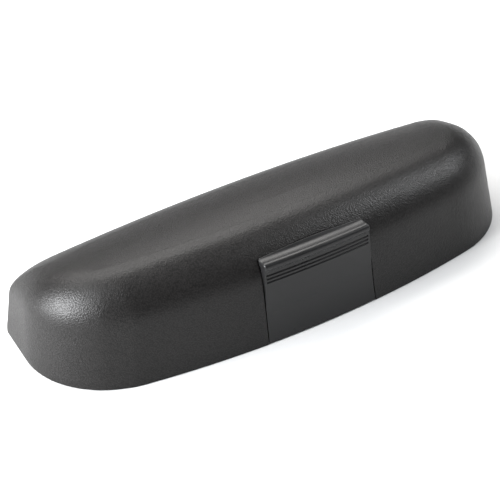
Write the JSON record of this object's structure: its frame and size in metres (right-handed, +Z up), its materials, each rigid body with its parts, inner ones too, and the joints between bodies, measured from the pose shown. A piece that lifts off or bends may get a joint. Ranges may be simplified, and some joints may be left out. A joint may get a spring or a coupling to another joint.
{
  "type": "eyeglasses case",
  "caption": "Hard black spectacles case: grained domed lid on a sprung back hinge over a low lined tray, held shut by a pivoting thumb latch.",
  "frame": {"origin": "centre of the closed case's bounding box, on the resting plane", "axes": "+X along the case, -Y the latch side, +Z up"},
  "size_m": [0.17, 0.0603, 0.0359],
  "materials": {
    "shell_black": "moulded, matte",
    "shell_black_grained": "moulded, fine leather grain, satin",
    "latch_black": "moulded, smooth satin",
    "steel_pin": "drawn, bright",
    "spring_steel": "drawn wire",
    "leaf_steel": "rolled strip",
    "keeper_steel": "pressed strip",
    "rivet_steel": "bright",
    "felt_lining": "short pile felt"
  },
  "bodies": {
    "base": {"base_tray": "shell_black", "tray_liner": "felt_lining", "latch_pin": "steel_pin", "latch_spring": "spring_steel", "hinge_pin_left": "steel_pin", "hinge_pin_right": "steel_pin", "hinge_spring_left": "spring_steel", "hinge_spring_right": "spring_steel"},
    "lid": {"lid_shell": "shell_black_grained", "lid_liner": "felt_lining", "lid_keeper": "keeper_steel", "keeper_rivet_left": "rivet_steel", "keeper_rivet_right": "rivet_steel"},
    "latch": {"latch_tongue": "latch_black", "catch_leaf": "leaf_steel", "leaf_rivet_left": "rivet_steel", "leaf_rivet_right": "rivet_steel"}
  },
  "joints": [
    {"name": "lid_hinge", "type": "hinge", "parent": "base", "child": "lid", "pos_m": [0, 0.0277, 0.012], "axis": [-1, 0, 0], "range_deg": [0, 100], "deforming": ["hinge_spring_left", "hinge_spring_right", "catch_leaf"]},
    {"name": "latch_hinge", "type": "hinge", "parent": "base", "child": "latch", "pos_m": [0, -0.0266, 0.004], "axis": [1, 0, 0], "range_deg": [0, 9], "stiffness_Nm_per_rad": 0.08, "springref_deg": -17.19, "deforming": ["latch_spring", "catch_leaf"]}
  ]
}
